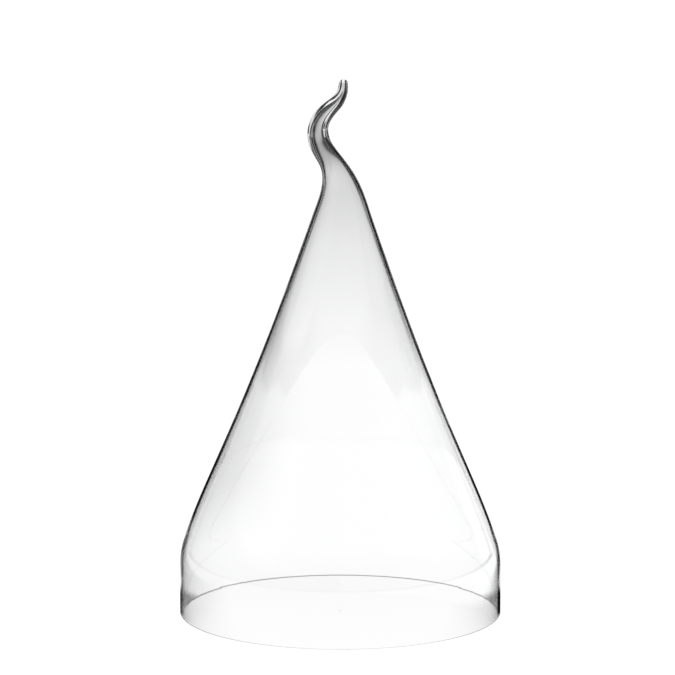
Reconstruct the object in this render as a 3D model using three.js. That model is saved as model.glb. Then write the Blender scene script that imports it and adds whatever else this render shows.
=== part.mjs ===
// Garden cloche of clear blown glass: an open-footed bell with a short upright skirt, whose cone is drawn
// out at the top into a hollow, S-curled tip that closes as a short solid rod. It is one piece of glass.
//
// Millimetres, +Z up. The origin is the centre of the rim, on the surface that the cloche stands on.
// The glass is shaped in two steps, as the glassblower does it: a straight round blank about the Z axis,
// then bends along its centreline, all in the XZ plane. A station is a distance along that centreline,
// counted from the rim, and a heading is the centreline's lean from upright, positive towards +X.
import * as THREE from "three";

// Wall and rim
const wall = 1.6;
const rimRounding = 0.4; // radius of the fire-polished edges; a flat ring stays between them

// Body of the blank, outside sizes
const skirtRadius = 100;
const skirtHeight = 30;
const shoulderRadius = 48; // the arc that turns the skirt into the cone
const shoulderAngle = 18; // degrees
const coneHeight = 215; // from the end of the shoulder to the neck
const coneFullness = 155; // how far down from the neck the cone keeps the neck's slope
const coneHip = 45; // how far up from the shoulder it keeps the shoulder's slope
const neckRadius = 13.85;
const neckAngle = 19; // degrees, half the cone's angle at the neck

// Curled tip of the blank, outside sizes
const throatLength = 35; // from the neck to the root of the curl
const throatStart = 20; // length that still follows the neck's slope
const throatEnd = 14; // length that already follows the curl
const curlRadius = 6.65;
const curlLength = 44; // from the root of the curl to the end of the tip
const curlStart = 10; // length that stays near the root's thickness
const curlEnd = 15; // length that follows the tip's taper
const tipRadius = 2.75;
const tipTaper = 6; // degrees, each side

// Bore of the curled tip
const boreRadius = 3.6;
const boreThroatLength = 40; // from the neck to where the bore has that radius
const boreThroatStart = 17;
const boreThroatEnd = 16;
const boreTaper = 4; // degrees, each side, at that place
const solidTipLength = 7; // solid glass between the end of the bore and the end of the tip
const boreEndTaper = 8; // degrees, each side
const boreLead = 10; // both handles of the last stretch of bore

// Bends of the centreline: where each begins, counted from the neck, the length that it takes, and its turn
// in degrees. The first is a slight lean of the whole cone, and begins at the top of the skirt.
const lean = { length: 30, turn: 0.28 };
const backBend = { fromNeck: -12.5, length: 56, turn: -46 };
const overBend = { fromNeck: 23, length: 38, turn: 93.5 };
const upBend = { fromNeck: 60, length: 18.5, turn: -49 };

// Facets
const around = 48;
const facets = {
  rimEdge: 3,
  shoulder: 5,
  cone: 9,
  throat: 12,
  curl: 14,
  dome: 4,
  boreThroat: 13,
  boreEnd: 10,
};
const spineStep = 0.25;
const samePlace = 0.01; // points closer than this are one point

const rad = THREE.MathUtils.degToRad;
const vec = (radius, station) => new THREE.Vector2(radius, station);

const shoulderCentre = vec(skirtRadius - shoulderRadius, skirtHeight);
const shoulderTop = arc(shoulderCentre, shoulderRadius, 0, shoulderAngle).getPoint(1);
const neckStation = shoulderTop.y + coneHeight;
const curlStation = neckStation + throatLength;
const tipStation = curlStation + curlLength;
const boreStation = neckStation + boreThroatLength;

const bends = [
  { start: skirtHeight, ...lean },
  { start: neckStation + backBend.fromNeck, ...backBend },
  { start: neckStation + overBend.fromNeck, ...overBend },
  { start: neckStation + upBend.fromNeck, ...upBend },
];

// Unit vector up the blank that closes in on the axis by an angle in degrees.
function slope(angle) {
  return vec(-Math.sin(rad(angle)), Math.cos(rad(angle)));
}

// Smooth curve up the blank from one point to a higher one, leaving and arriving at the given angles.
function flowing(from, fromAngle, fromReach, to, toAngle, toReach) {
  const leave = from.clone().addScaledVector(slope(fromAngle), fromReach);
  const arrive = to.clone().addScaledVector(slope(toAngle), -toReach);
  return new THREE.CubicBezierCurve(from, leave, arrive, to);
}

// Arc about a centre, between two angles in degrees counted from the outward direction.
function arc(centre, radius, fromAngle, toAngle) {
  const clockwise = toAngle < fromAngle;
  const { x, y } = centre;
  return new THREE.EllipseCurve(x, y, radius, radius, rad(fromAngle), rad(toAngle), clockwise);
}

// A curve's points moved towards the axis side by a thickness, measured square to the curve.
function inside(curve, thickness, count) {
  return Array.from({ length: count + 1 }, (_, i) => {
    const along = curve.getTangent(i / count);
    return curve.getPoint(i / count).add(vec(-along.y, along.x).multiplyScalar(thickness));
  });
}

// Joins stretches of points into one outline, leaving out each repeated joint.
function outline(...stretches) {
  const isNew = (point, i, all) => i === 0 || point.distanceTo(all[i - 1]) > samePlace;
  return stretches.flat().filter(isNew);
}

// The blank's half section: up the outside from the rim to the tip's end, and up the inside to the bore's.
function halfSection() {
  const domeCentre = vec(0, tipStation - tipRadius);
  const dome = arc(domeCentre, tipRadius, tipTaper, 90);
  const neck = vec(neckRadius, neckStation);
  const cone = flowing(shoulderTop, shoulderAngle, coneHip, neck, neckAngle, coneFullness);
  const curlRoot = vec(curlRadius, curlStation);
  const throat = flowing(neck, neckAngle, throatStart, curlRoot, 0, throatEnd);
  const curl = flowing(curlRoot, 0, curlStart, dome.getPoint(0), tipTaper, curlEnd);
  const outerEdge = arc(vec(skirtRadius - rimRounding, rimRounding), rimRounding, -90, 0);
  const outer = outline(
    outerEdge.getPoints(facets.rimEdge),
    arc(shoulderCentre, shoulderRadius, 0, shoulderAngle).getPoints(facets.shoulder),
    cone.getPoints(facets.cone),
    throat.getPoints(facets.throat),
    curl.getPoints(facets.curl),
    dome.getPoints(facets.dome),
  );

  const innerEdge = arc(vec(skirtRadius - wall + rimRounding, rimRounding), rimRounding, -90, -180);
  const innerCone = inside(cone, wall, facets.cone);
  const boreRoot = vec(boreRadius, boreStation);
  const boreEnd = vec(0, tipStation - solidTipLength);
  const boreMouth = innerCone.at(-1);
  const boreThroat = flowing(boreMouth, neckAngle, boreThroatStart, boreRoot, boreTaper, boreThroatEnd);
  const bore = flowing(boreRoot, boreTaper, boreLead, boreEnd, boreEndTaper, boreLead);
  const inner = outline(
    innerEdge.getPoints(facets.rimEdge),
    arc(shoulderCentre, shoulderRadius - wall, 0, shoulderAngle).getPoints(facets.shoulder),
    innerCone,
    boreThroat.getPoints(facets.boreThroat),
    bore.getPoints(facets.boreEnd),
  );
  return { outer, inner };
}

// The centreline as a list of points in the XZ plane, one every spineStep, with their headings in radians.
function tracedSpine() {
  const spine = [];
  const place = { x: 0, z: 0 };
  for (let station = 0; station <= tipStation + spineStep; station += spineStep) {
    const bent = ({ start, length }) => THREE.MathUtils.smoothstep(station, start, start + length);
    const heading = bends.reduce((sum, bend) => sum + rad(bend.turn) * bent(bend), 0);
    spine.push({ ...place, heading });
    place.x += Math.sin(heading) * spineStep;
    place.z += Math.cos(heading) * spineStep;
  }
  return spine;
}

// Bends a straight solid about Z so that its axis follows the spine.
function bendAlong(geometry, spine) {
  const position = geometry.getAttribute("position");
  for (let i = 0; i < position.count; i++) {
    const step = Math.max(position.getZ(i), 0) / spineStep;
    const low = spine[Math.floor(step)];
    const high = spine[Math.floor(step) + 1];
    const share = step - Math.floor(step);
    const [x, z, heading] = ["x", "z", "heading"].map((k) => THREE.MathUtils.lerp(low[k], high[k], share));
    const across = position.getX(i);
    position.setX(i, x + across * Math.cos(heading));
    position.setZ(i, z - across * Math.sin(heading));
  }
  geometry.computeVertexNormals();
  return geometry;
}

function glassBell() {
  const { outer, inner } = halfSection();
  const blank = new THREE.LatheGeometry([...inner.toReversed(), ...outer], around).rotateX(Math.PI / 2);
  const glass = new THREE.MeshStandardMaterial({
    color: 0xf4f8f7,
    roughness: 0.02,
    metalness: 0,
    transparent: true,
    opacity: 0.3,
  });
  const mesh = new THREE.Mesh(bendAlong(blank, tracedSpine()), glass);
  mesh.name = "glass_bell";
  return mesh;
}

const cloche = new THREE.Group();
cloche.add(glassBell());

export default cloche;
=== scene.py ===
"""The glass cloche: one piece of clear blown glass on a plain pale floor, in a soft bright-field studio.

Everything is in metres, in the CAD frame: +Z up, the origin at the centre of the rim, the curl in the XZ plane.
A station is a distance along the bell's centreline, counted from the rim.
"""

import math

import bpy
import numpy as np
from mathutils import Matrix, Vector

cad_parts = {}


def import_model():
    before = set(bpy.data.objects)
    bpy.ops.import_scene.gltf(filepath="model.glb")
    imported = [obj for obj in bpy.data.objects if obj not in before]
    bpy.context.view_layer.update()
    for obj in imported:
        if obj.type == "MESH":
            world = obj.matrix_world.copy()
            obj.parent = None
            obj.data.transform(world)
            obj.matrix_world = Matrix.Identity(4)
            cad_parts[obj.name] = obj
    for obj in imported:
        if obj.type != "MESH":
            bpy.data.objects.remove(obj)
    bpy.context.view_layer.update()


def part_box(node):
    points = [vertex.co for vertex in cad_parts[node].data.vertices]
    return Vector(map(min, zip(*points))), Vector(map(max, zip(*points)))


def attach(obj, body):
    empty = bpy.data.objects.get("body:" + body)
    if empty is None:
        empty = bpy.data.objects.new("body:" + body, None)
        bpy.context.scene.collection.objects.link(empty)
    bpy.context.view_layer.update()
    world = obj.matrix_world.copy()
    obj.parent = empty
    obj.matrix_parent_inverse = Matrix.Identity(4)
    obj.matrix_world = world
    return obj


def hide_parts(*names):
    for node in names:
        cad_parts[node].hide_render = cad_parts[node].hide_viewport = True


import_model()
BELL_NODE = "glass_bell"
bell_low, bell_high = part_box(BELL_NODE)

# --- the bell's own sizes: what the CAD box doesn't hold -------------------------------------------------

SKIRT_RADIUS = bell_high.y
WALL = 0.0016
RIM_ROUNDING = 0.0004
SKIRT_HEIGHT = 0.030
SHOULDER_RADIUS = 0.048
SHOULDER_ANGLE = 18
CONE_HEIGHT = 0.215
CONE_FULLNESS = 0.155
CONE_HIP = 0.045
NECK_RADIUS = 0.01385
NECK_ANGLE = 19
THROAT_LENGTH = 0.035
THROAT_START = 0.020
THROAT_END = 0.014
CURL_RADIUS = 0.00665
CURL_LENGTH = 0.044
CURL_START = 0.010
CURL_END = 0.015
TIP_RADIUS = 0.00275
TIP_TAPER = 6
BORE_RADIUS = 0.0036
BORE_THROAT_LENGTH = 0.040
BORE_THROAT_START = 0.017
BORE_THROAT_END = 0.016
BORE_TAPER = 4
SOLID_TIP_LENGTH = 0.007
BORE_END_TAPER = 8
BORE_LEAD = 0.010

# Fineness of the mesh
AROUND = 256
EDGE_STEPS = 8
SHOULDER_STEPS = 32
SKIRT_STEPS = 16
CONE_STEPS = 110
CURL_STEPS = 90
DOME_STEPS = 16
SPINE_STEP = 0.0001
SAME_PLACE = 1e-9  # points closer than this are one point


# --- the outline of the straight blank, as (radius, station) points -----------------------------------------

def slope(angle):
    """Unit vector up the blank that closes in on the axis by an angle in degrees."""
    return np.array([-math.sin(math.radians(angle)), math.cos(math.radians(angle))])


def flowing(start, start_angle, start_reach, end, end_angle, end_reach, steps):
    """Points and tangents of a smooth curve up the blank, leaving and arriving at the given angles."""
    p0, p3 = np.array(start, float), np.array(end, float)
    p1 = p0 + slope(start_angle) * start_reach
    p2 = p3 - slope(end_angle) * end_reach
    t = np.linspace(0, 1, steps + 1)[:, None]
    points = (1 - t) ** 3 * p0 + 3 * (1 - t) ** 2 * t * p1 + 3 * (1 - t) * t ** 2 * p2 + t ** 3 * p3
    tangents = (1 - t) ** 2 * (p1 - p0) + 2 * (1 - t) * t * (p2 - p1) + t ** 2 * (p3 - p2)
    return points, tangents / np.linalg.norm(tangents, axis=1)[:, None]


def arc(centre, radius, start_angle, end_angle, steps):
    """Points of an arc, its angles in degrees counted from the outward direction."""
    a = np.radians(np.linspace(start_angle, end_angle, steps + 1))
    return np.array(centre) + radius * np.column_stack([np.cos(a), np.sin(a)])


def inside(points, tangents, thickness):
    """The points moved towards the axis, square to the curve."""
    return points + thickness * np.column_stack([-tangents[:, 1], tangents[:, 0]])


def outline(*stretches):
    """Joins stretches of points into one outline, leaving out each repeated joint."""
    points = np.concatenate(stretches)
    keep = np.r_[True, np.linalg.norm(np.diff(points, axis=0), axis=1) > SAME_PLACE]
    return points[keep]


shoulder_centre = (SKIRT_RADIUS - SHOULDER_RADIUS, SKIRT_HEIGHT)
shoulder_top = arc(shoulder_centre, SHOULDER_RADIUS, SHOULDER_ANGLE, SHOULDER_ANGLE, 0)[0]
neck = (NECK_RADIUS, shoulder_top[1] + CONE_HEIGHT)
curl_root = (CURL_RADIUS, neck[1] + THROAT_LENGTH)
tip_station = curl_root[1] + CURL_LENGTH
bore_root = (BORE_RADIUS, neck[1] + BORE_THROAT_LENGTH)


def half_section():
    """The blank's outline, up the outside from the rim to the tip and up the inside to the bore's end."""
    dome = arc((0, tip_station - TIP_RADIUS), TIP_RADIUS, TIP_TAPER, 90, DOME_STEPS)
    cone, cone_tangents = flowing(shoulder_top, SHOULDER_ANGLE, CONE_HIP, neck, NECK_ANGLE,
                                  CONE_FULLNESS, CONE_STEPS)
    throat, _ = flowing(neck, NECK_ANGLE, THROAT_START, curl_root, 0, THROAT_END, CURL_STEPS)
    curl, _ = flowing(curl_root, 0, CURL_START, dome[0], TIP_TAPER, CURL_END, CURL_STEPS)
    outer_edge = arc((SKIRT_RADIUS - RIM_ROUNDING, RIM_ROUNDING), RIM_ROUNDING, -90, 0, EDGE_STEPS)
    skirt = np.linspace((SKIRT_RADIUS, RIM_ROUNDING), (SKIRT_RADIUS, SKIRT_HEIGHT), SKIRT_STEPS + 1)
    outer = outline(outer_edge, skirt, arc(shoulder_centre, SHOULDER_RADIUS, 0, SHOULDER_ANGLE, SHOULDER_STEPS),
                    cone, throat, curl, dome)

    inner_radius = SKIRT_RADIUS - WALL
    inner_edge = arc((inner_radius + RIM_ROUNDING, RIM_ROUNDING), RIM_ROUNDING, -90, -180, EDGE_STEPS)
    inner_skirt = np.linspace((inner_radius, RIM_ROUNDING), (inner_radius, SKIRT_HEIGHT), SKIRT_STEPS + 1)
    inner_cone = inside(cone, cone_tangents, WALL)
    bore_end = (0, tip_station - SOLID_TIP_LENGTH)
    bore_throat, _ = flowing(inner_cone[-1], NECK_ANGLE, BORE_THROAT_START, bore_root, BORE_TAPER,
                             BORE_THROAT_END, CURL_STEPS)
    bore, _ = flowing(bore_root, BORE_TAPER, BORE_LEAD, bore_end, BORE_END_TAPER, BORE_LEAD, CURL_STEPS)
    inner = outline(inner_edge, inner_skirt,
                    arc(shoulder_centre, SHOULDER_RADIUS - WALL, 0, SHOULDER_ANGLE, SHOULDER_STEPS),
                    inner_cone, bore_throat, bore)
    return outer, inner


# --- the bends of the centreline --------------------------------------------------------------------------

# where each begins, how long it takes, and how far it turns in degrees, positive towards +X
BENDS = [
    (SKIRT_HEIGHT, 0.030, 0.28),
    (neck[1] - 0.0125, 0.056, -46),
    (neck[1] + 0.023, 0.038, 93.5),
    (neck[1] + 0.060, 0.0185, -49),
]


def spine(stations):
    """x, z and heading in radians of the centreline at each station."""
    fine = np.arange(0, tip_station + 2 * SPINE_STEP, SPINE_STEP)
    heading = np.zeros_like(fine)
    for start, length, turn in BENDS:
        t = np.clip((fine - start) / length, 0, 1)
        heading += math.radians(turn) * t * t * (3 - 2 * t)
    x = np.r_[0, np.cumsum(np.sin(heading[:-1]) * SPINE_STEP)]
    z = np.r_[0, np.cumsum(np.cos(heading[:-1]) * SPINE_STEP)]
    return np.interp(stations, fine, x), np.interp(stations, fine, z), np.interp(stations, fine, heading)


def glass_bell():
    """One closed, smooth solid: the outline turned about the axis, then bent along the spine."""
    outer, inner = half_section()
    rings = np.concatenate([inner[::-1][1:], outer[:-1]])
    x, z, heading = spine(rings[:, 1])
    angle = np.linspace(0, 2 * math.pi, AROUND, endpoint=False)
    across = rings[:, :1] * np.cos(angle)
    sideways = rings[:, :1] * np.sin(angle)
    points = np.stack([x[:, None] + across * np.cos(heading)[:, None], sideways,
                       z[:, None] - across * np.sin(heading)[:, None]], axis=-1).reshape(-1, 3)
    ends = [[px[0], 0, pz[0]] for px, pz, _ in (spine([inner[-1][1]]), spine([outer[-1][1]]))]
    count, first_end = len(rings), len(points)

    here = np.arange(AROUND)
    turned = (here + 1) % AROUND
    quads = []
    for ring in range(count - 1):
        low, high = ring * AROUND, (ring + 1) * AROUND
        quads += np.column_stack([low + here, low + turned, high + turned, high + here]).tolist()
    last = (count - 1) * AROUND
    fans = [[first_end, int(b), int(a)] for a, b in zip(here, turned)]
    fans += [[first_end + 1, int(last + a), int(last + b)] for a, b in zip(here, turned)]

    mesh = bpy.data.meshes.new("glass_bell_blown")
    mesh.from_pydata(np.vstack([points, ends]).tolist(), [], quads + fans)
    mesh.validate()
    mesh.shade_smooth()
    made = bpy.data.objects.new("glass_bell_blown", mesh)
    bpy.context.scene.collection.objects.link(made)
    return made


# --- material -----------------------------------------------------------------------------------------------

IOR = 1.47
WAVES_PER_METRE = 14
WAVE_DETAIL = 1.0
STREAKS_PER_METRE = (150, 150, 9)
STREAK_DETAIL = 2.0
STREAK_SHARE = 0.08  # of the waves' height
WAVE_HEIGHT = 0.00025
GROUND_TO = 0.0005  # height above the rim that the grinding reaches
GROUND_ROUGHNESS = 0.25
TINT = (0.25, 0.75, 0.65, 1)
TINT_DENSITY = 2.0


def clear_glass():
    """Clear borosilicate: fire-polished, slightly wavy from blowing, softly ground on the flat of the rim."""
    material = bpy.data.materials.new("clear_blown_glass")
    material.use_nodes = True
    nodes, links = material.node_tree.nodes, material.node_tree.links
    shader = nodes["Principled BSDF"]
    shader.inputs["Base Color"].default_value = (1, 1, 1, 1)
    shader.inputs["IOR"].default_value = IOR
    shader.inputs["Transmission Weight"].default_value = 1.0

    place = nodes.new("ShaderNodeTexCoord")
    # slow waves all over, and fainter streaks along the way in which the glass was drawn
    waves = nodes.new("ShaderNodeTexNoise")
    waves.inputs["Scale"].default_value = WAVES_PER_METRE
    waves.inputs["Detail"].default_value = WAVE_DETAIL
    links.new(place.outputs["Object"], waves.inputs["Vector"])
    drawn = nodes.new("ShaderNodeMapping")
    drawn.inputs["Scale"].default_value = STREAKS_PER_METRE
    links.new(place.outputs["Object"], drawn.inputs["Vector"])
    streaks = nodes.new("ShaderNodeTexNoise")
    streaks.inputs["Scale"].default_value = 1.0
    streaks.inputs["Detail"].default_value = STREAK_DETAIL
    links.new(drawn.outputs["Vector"], streaks.inputs["Vector"])
    relief = nodes.new("ShaderNodeMath")
    relief.operation = "MULTIPLY_ADD"
    relief.inputs[1].default_value = STREAK_SHARE
    links.new(streaks.outputs["Fac"], relief.inputs[0])
    links.new(waves.outputs["Fac"], relief.inputs[2])
    bump = nodes.new("ShaderNodeBump")
    bump.inputs["Strength"].default_value = 1.0
    bump.inputs["Distance"].default_value = WAVE_HEIGHT
    links.new(relief.outputs["Value"], bump.inputs["Height"])
    links.new(bump.outputs["Normal"], shader.inputs["Normal"])

    # the rim was cut, ground flat and fire-polished: a trace of the grinding is left on it
    height = nodes.new("ShaderNodeSeparateXYZ")
    links.new(place.outputs["Object"], height.inputs["Vector"])
    ground = nodes.new("ShaderNodeMapRange")
    ground.interpolation_type = "SMOOTHSTEP"
    ground.inputs["From Min"].default_value = GROUND_TO
    ground.inputs["From Max"].default_value = 0
    ground.inputs["To Min"].default_value = 0
    ground.inputs["To Max"].default_value = GROUND_ROUGHNESS
    links.new(height.outputs["Z"], ground.inputs["Value"])
    links.new(ground.outputs["Result"], shader.inputs["Roughness"])

    # the glass's own faint tint, which shows where a ray runs along the wall
    tint = nodes.new("ShaderNodeVolumeAbsorption")
    tint.inputs["Color"].default_value = TINT
    tint.inputs["Density"].default_value = TINT_DENSITY
    links.new(tint.outputs["Volume"], nodes["Material Output"].inputs["Volume"])
    return material


# --- camera -------------------------------------------------------------------------------------------------

CAMERA_DISTANCE = 1.6
CAMERA_HEIGHT = 0.3863
CAMERA_SIDE = -0.00174
CAMERA_PITCH = 7.632
LENS = 139.5
SENSOR = 36


def camera():
    data = bpy.data.cameras.new("camera")
    data.sensor_width = SENSOR
    data.lens = LENS
    made = bpy.data.objects.new("camera", data)
    made.location = (CAMERA_SIDE, -CAMERA_DISTANCE, CAMERA_HEIGHT)
    made.rotation_euler = (math.radians(90 - CAMERA_PITCH), 0, 0)
    bpy.context.scene.collection.objects.link(made)
    bpy.context.scene.camera = made
    return made


# --- studio -------------------------------------------------------------------------------------------------
#
# A lit table that runs back to an upright panel behind the glass, both kept narrow by dark bands in their own
# brightness where black flags would stand, so that the clear glass shows as dark lines on white. Beyond the
# dark bands, a tent gives soft light from the sides. The camera sees none of them. They turn with it, so each
# view of the glass is lit in the same way.
#
# A brightness of 1 shows as white. An edge is a pair: where a brightness starts to change and where it is done.

BLACK = 0.01

# Table
TABLE_DROP = -0.0005
TABLE_RADIUS = 3
TABLE_STEPS_AROUND = 480
TABLE_END = (0.6, 1.0)
INSIDE_RIM = 0.0994  # radius of the table under the bell
INSIDE_LIGHT = 0.98
# a thin ring of painted shadow on the lit table, under the rim
RIM_MIDDLE = 0.0995
RIM_SHADE = 0.6
RIM_SHADE_EDGE = (0.0005, 0.0015)
CONTACT_SHADE = 0.45  # painted contact shadow on the lit table, just outside the rim, at the back
CONTACT_EDGE = (0.1, 0.104)
CONTACT_BACK = (0.06, 0.09)
FRONT_TO_BACK = (-0.02, 0.01)

# Lit strip on the table, behind the glass
STRIP_HALF = 0.09
STRIP_STEP = 0.035  # how much it widens just behind the rim
STRIP_STEP_EDGE = (0.03, 0.08)
STRIP_SPREAD = 0.06  # how much it widens for each metre
STRIP_SOFT = 0.012
STRIP_GAIN = 0.03
STRIP_GAIN_EDGE = (0.1, 0.2)
STRIP_LEFT_FALL = 0.2
STRIP_LEFT_EDGE = (0.04, 0.11)
STRIP_LEFT_BACK = (0.15, 0.5)

# Lit table beside the strip, beyond the dark bands where flags would stand, and in front
FLAG_SPREAD = 0.36  # how much the dark bands widen for each metre
RIGHT_LIGHT = 0.95
RIGHT_START = 0.13
RIGHT_SOFT = (0, 0.04)
LEFT_LIGHT = 0.45
LEFT_START = 0.20
LEFT_SOFT = (0, 0.06)
BESIDE_RIGHT = 0.85
BESIDE_RIGHT_EDGE = (0.13, 0.17)
BESIDE_LEFT = 0.3
BESIDE_LEFT_EDGE = (0.18, 0.24)
BEFORE_LIGHT = 0.98
BEFORE_FALL = 0.35
BEFORE_FALL_EDGE = (0.1, 0.25)
BEFORE_EDGE = (0.02, 0.10)

# Panel
PANEL_DISTANCE = 0.64
PANEL_HALF = 0.64
PANEL_HEIGHT = 0.8
PANEL_COLUMNS = 257
PANEL_ROWS = 121
PANEL_LIGHT = 1.02
PANEL_FALL = 1.7  # for each metre above the first height
PANEL_FALL_FROM = 0.06
PANEL_MORE_FALL = 1.5  # added above the second height
PANEL_MORE_FROM = 0.17
PANEL_TOP = (0.30, 0.37)
PANEL_INNER_SOFT = 0.02
PANEL_SOFT_GAIN = 0.5
PANEL_SOFT_FROM = 0.16
PANEL_SIDE_FALL = 0.2
PANEL_LEFT_EDGE = (0.02, 0.12)
PANEL_RIGHT_EDGE = (0.09, 0.15)
PANEL_SIDES_RIGHT = 0.9
PANEL_SIDES_LEFT = 0.4
PANEL_SIDES_EDGE = (0.33, 0.38)
PANEL_SIDES_TOP = 0.09
PANEL_SIDES_RISE = 0.13  # how much higher the sides reach at their far ends
PANEL_SIDES_RISE_EDGE = (0.38, 0.46)
PANEL_SIDES_FADE = 0.08

# Tent, in degrees
TENT_RADIUS = 20
TENT_BOTTOM = -30
TENT_CROWN = 89.9
TENT_ROWS = 160
TENT_COLUMNS = 480
LOW_TOP = 7  # how high the low lights reach
LOW_TOP_RISE = 9
LOW_TOP_EDGE = (46, 56)
LOW_FADE = 5
LOW_EDGE = (38, 44)
LOW_RIGHT = 1.0
LOW_RIGHT_FALL = 0.35
LOW_RIGHT_FALL_EDGE = (50, 62)
LOW_LEFT = 0.3
HIGH_RIGHT = 0.6
HIGH_LEFT = 0.55
HIGH_EDGE = (68, 76)
TENT_FRONT_FALL = 0.25
TENT_FRONT_EDGE = (110, 150)
TENT_TOP = (50, 62)

# What the camera sees behind and under the glass
FLOOR_HALF = 12
FLOOR_DROP = -0.0002
PAPER = (0.82, 0.82, 0.82, 1)
WORLD_STRENGTH = 1.3

BOUNCES = 32


def turntable(cam):
    """An empty at the origin that keeps the studio facing the camera, as a turntable under the glass would."""
    rig = bpy.data.objects.new("turntable", None)
    bpy.context.scene.collection.objects.link(rig)
    track = rig.constraints.new("LOCKED_TRACK")
    track.target = cam
    track.track_axis = "TRACK_NEGATIVE_Y"
    track.lock_axis = "LOCK_Z"
    return rig


def smooth(low, high, x):
    """0 below low, 1 above high, and an even curve between them."""
    t = np.clip((x - low) / (high - low), 0, 1)
    return t * t * (3 - 2 * t)


def glow(name, points, faces, light, rig):
    """A stage surface with the given brightness at each of its points. The camera doesn't see it."""
    mesh = bpy.data.meshes.new(name)
    mesh.from_pydata(points.tolist(), [], faces)
    layer = mesh.color_attributes.new("light", "FLOAT_COLOR", "POINT")
    rgba = np.column_stack([light, light, light, np.ones(len(light))])
    layer.data.foreach_set("color", rgba.astype(np.float32).ravel())
    material = bpy.data.materials.new(name)
    material.use_nodes = True
    material.cycles.emission_sampling = "NONE"
    nodes, links = material.node_tree.nodes, material.node_tree.links
    nodes.clear()
    colour = nodes.new("ShaderNodeVertexColor")
    colour.layer_name = "light"
    emission = nodes.new("ShaderNodeEmission")
    out = nodes.new("ShaderNodeOutputMaterial")
    links.new(colour.outputs["Color"], emission.inputs["Color"])
    links.new(emission.outputs["Emission"], out.inputs["Surface"])
    mesh.materials.append(material)
    made = bpy.data.objects.new(name, mesh)
    bpy.context.scene.collection.objects.link(made)
    made.parent = rig
    made.visible_camera = False
    made.visible_shadow = False
    made.visible_diffuse = False


def grid_faces(rows, columns, closed):
    """Faces between rows of points. A closed grid joins each row's end to its start."""
    faces = []
    for i in range(rows - 1):
        for j in range(columns if closed else columns - 1):
            k = (j + 1) % columns
            faces.append([i * columns + j, i * columns + k, (i + 1) * columns + k, (i + 1) * columns + j])
    return faces


def lit_half(y):
    """Half-width of the lit strip, y behind the glass."""
    return STRIP_HALF + STRIP_STEP * smooth(*STRIP_STEP_EDGE, y) + STRIP_SPREAD * y


def floor_light(x, y):
    """Brightness of the table, at x to the right of the glass and y behind it, with painted shadow under and
    just behind the rim.
    """
    away = np.hypot(x, y)
    back = np.maximum(y, 0)
    half = lit_half(back)
    strip = 1.0 + STRIP_GAIN * smooth(*STRIP_GAIN_EDGE, y)
    strip *= 1 - smooth(half - STRIP_SOFT, half + STRIP_SOFT, np.abs(x))
    strip *= 1 - STRIP_LEFT_FALL * smooth(*STRIP_LEFT_EDGE, -x) * smooth(*STRIP_LEFT_BACK, y)
    right = RIGHT_LIGHT * smooth(*RIGHT_SOFT, x - RIGHT_START - FLAG_SPREAD * back)
    left = LEFT_LIGHT * smooth(*LEFT_SOFT, -x - LEFT_START - FLAG_SPREAD * back)
    behind = strip + right + left

    beside = BESIDE_RIGHT * smooth(*BESIDE_RIGHT_EDGE, x) + BESIDE_LEFT * smooth(*BESIDE_LEFT_EDGE, -x)
    before = BEFORE_LIGHT - BEFORE_FALL * smooth(*BEFORE_FALL_EDGE, away)
    before *= smooth(*BEFORE_EDGE, -y)
    front = np.maximum(beside, before)

    share = smooth(*FRONT_TO_BACK, y)
    around = (behind * share + front * (1 - share)) * (1 - smooth(*TABLE_END, away))
    # painted contact shadow: the lit table is darker just outside the rim, towards the back
    painted_contact_shadow = 1 - CONTACT_SHADE * (1 - smooth(*CONTACT_EDGE, away)) * smooth(*CONTACT_BACK, y)
    # painted shadow: a thin darker ring on the lit table under the rim
    painted_rim_shadow = 1 - RIM_SHADE * (1 - smooth(*RIM_SHADE_EDGE, np.abs(away - RIM_MIDDLE)))
    return BLACK + np.where(away < INSIDE_RIM, INSIDE_LIGHT, around * painted_contact_shadow) * painted_rim_shadow


def panel_light(x, z):
    """Brightness of the panel, at x to the right and at a height: brightest low down, darker at its sides."""
    fall = PANEL_LIGHT - PANEL_FALL * np.maximum(z - PANEL_FALL_FROM, 0)
    fall -= PANEL_MORE_FALL * np.maximum(z - PANEL_MORE_FROM, 0)
    fall *= 1 - smooth(*PANEL_TOP, z)
    half = lit_half(PANEL_DISTANCE)
    soft = PANEL_INNER_SOFT + PANEL_SOFT_GAIN * np.maximum(z - PANEL_SOFT_FROM, 0)
    strip = fall * (1 - smooth(half - soft, half + STRIP_SOFT, np.abs(x)))
    strip *= 1 - PANEL_SIDE_FALL * smooth(*PANEL_LEFT_EDGE, -x) - PANEL_SIDE_FALL * smooth(*PANEL_RIGHT_EDGE, x)
    top = PANEL_SIDES_TOP + PANEL_SIDES_RISE * smooth(*PANEL_SIDES_RISE_EDGE, np.abs(x))
    sides = smooth(*PANEL_SIDES_EDGE, np.abs(x)) * np.where(x > 0, PANEL_SIDES_RIGHT, PANEL_SIDES_LEFT)
    sides *= 1 - smooth(top, top + PANEL_SIDES_FADE, z)
    return BLACK + strip + sides


def tent_light(az, el):
    """Brightness of the tent, at an azimuth from straight behind the glass and an elevation, in degrees."""
    top = LOW_TOP + LOW_TOP_RISE * smooth(*LOW_TOP_EDGE, np.abs(az))
    low = 1 - smooth(top, top + LOW_FADE, el)
    right = LOW_RIGHT * smooth(*LOW_EDGE, az) * (1 - LOW_RIGHT_FALL * smooth(*LOW_RIGHT_FALL_EDGE, az)) * low
    left = LOW_LEFT * smooth(*LOW_EDGE, -az) * low
    high = np.where(az > 0, HIGH_RIGHT, HIGH_LEFT) * smooth(*HIGH_EDGE, np.abs(az)) * (1 - low)
    front = 1 - TENT_FRONT_FALL * smooth(*TENT_FRONT_EDGE, np.abs(az))
    return BLACK + (right + left + high) * front * (1 - smooth(*TENT_TOP, el))


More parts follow.
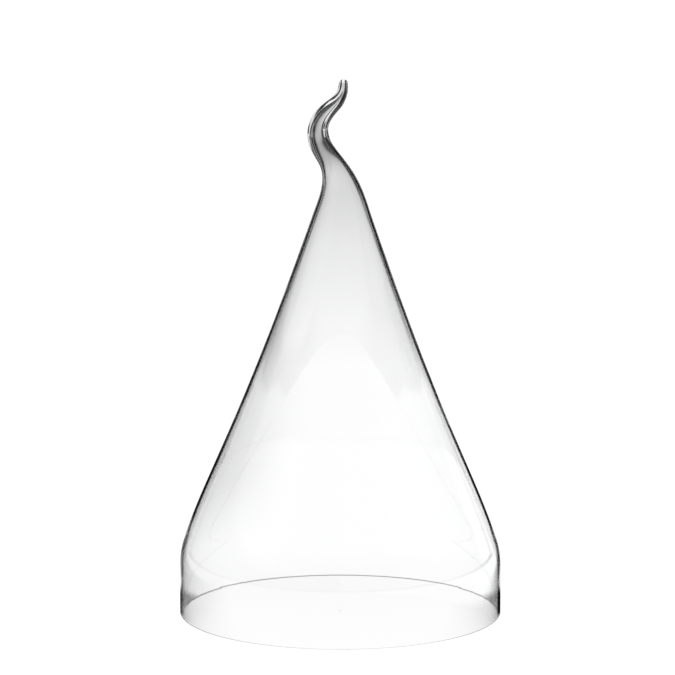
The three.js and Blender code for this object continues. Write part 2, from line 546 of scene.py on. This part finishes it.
def table(rig):
    """A disc, fine near the rim."""
    radii = np.concatenate([[0.0005], np.linspace(0.01, 0.095, 35), np.linspace(0.0965, 0.1065, 26),
                            np.linspace(0.109, 0.3, 77), np.geomspace(0.305, TABLE_RADIUS, 60)])
    angles = np.linspace(0, 2 * math.pi, TABLE_STEPS_AROUND, endpoint=False)
    r, a = np.meshgrid(radii, angles, indexing="ij")
    x, y = (r * np.sin(a)).ravel(), (r * np.cos(a)).ravel()
    points = np.column_stack([x, y, np.full_like(x, TABLE_DROP)])
    glow("table_light", points, grid_faces(len(radii), len(angles), True), floor_light(x, y), rig)


def panel(rig):
    """An upright sheet behind the glass."""
    x, z = np.meshgrid(np.linspace(-PANEL_HALF, PANEL_HALF, PANEL_COLUMNS),
                       np.linspace(TABLE_DROP, PANEL_HEIGHT, PANEL_ROWS))
    x, z = x.ravel(), z.ravel()
    points = np.column_stack([x, np.full_like(x, PANEL_DISTANCE), z])
    glow("panel_light", points, grid_faces(PANEL_ROWS, PANEL_COLUMNS, False), panel_light(x, z), rig)


def tent(rig):
    """A dome over all of it."""
    elevations = np.radians(np.linspace(TENT_BOTTOM, TENT_CROWN, TENT_ROWS))
    azimuths = np.linspace(0, 2 * math.pi, TENT_COLUMNS, endpoint=False)
    e, a = np.meshgrid(elevations, azimuths, indexing="ij")
    directions = [(np.cos(e) * np.sin(a)).ravel(), (np.cos(e) * np.cos(a)).ravel(), np.sin(e).ravel()]
    points = TENT_RADIUS * np.column_stack(directions)
    az = np.degrees(np.where(a > math.pi, a - 2 * math.pi, a)).ravel()
    light = tent_light(az, np.degrees(e).ravel())
    glow("tent_light", points, grid_faces(TENT_ROWS, TENT_COLUMNS, True), light, rig)


def floor():
    """Plain pale floor. Only the camera sees it: the glass shows the lit table instead."""
    corners = [(-FLOOR_HALF, -FLOOR_HALF), (FLOOR_HALF, -FLOOR_HALF), (FLOOR_HALF, FLOOR_HALF),
               (-FLOOR_HALF, FLOOR_HALF)]
    mesh = bpy.data.meshes.new("floor")
    mesh.from_pydata([(x, y, FLOOR_DROP) for x, y in corners], [], [(0, 1, 2, 3)])
    paper = bpy.data.materials.new("white_paper")
    paper.use_nodes = True
    shader = paper.node_tree.nodes["Principled BSDF"]
    shader.inputs["Base Color"].default_value = PAPER
    shader.inputs["Roughness"].default_value = 1
    shader.inputs["Specular IOR Level"].default_value = 0
    mesh.materials.append(paper)
    made = bpy.data.objects.new("floor", mesh)
    bpy.context.scene.collection.objects.link(made)
    made.visible_transmission = False
    made.visible_glossy = False


def world():
    """White all round."""
    made = bpy.data.worlds.new("white")
    made.use_nodes = True
    made.node_tree.nodes["Background"].inputs["Color"].default_value = (1, 1, 1, 1)
    made.node_tree.nodes["Background"].inputs["Strength"].default_value = WORLD_STRENGTH
    bpy.context.scene.world = made


# --- the scene ------------------------------------------------------------------------------------------------

turning = turntable(camera())
world()
floor()
table(turning)
panel(turning)
tent(turning)

bell = glass_bell()
bell.data.materials.append(clear_glass())
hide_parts(BELL_NODE)
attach(bell, "root")
bell.visible_shadow = False
bell.visible_diffuse = False

scene = bpy.context.scene
scene.view_settings.view_transform = "Standard"
scene.cycles.max_bounces = BOUNCES
scene.cycles.transmission_bounces = BOUNCES
scene.cycles.glossy_bounces = BOUNCES
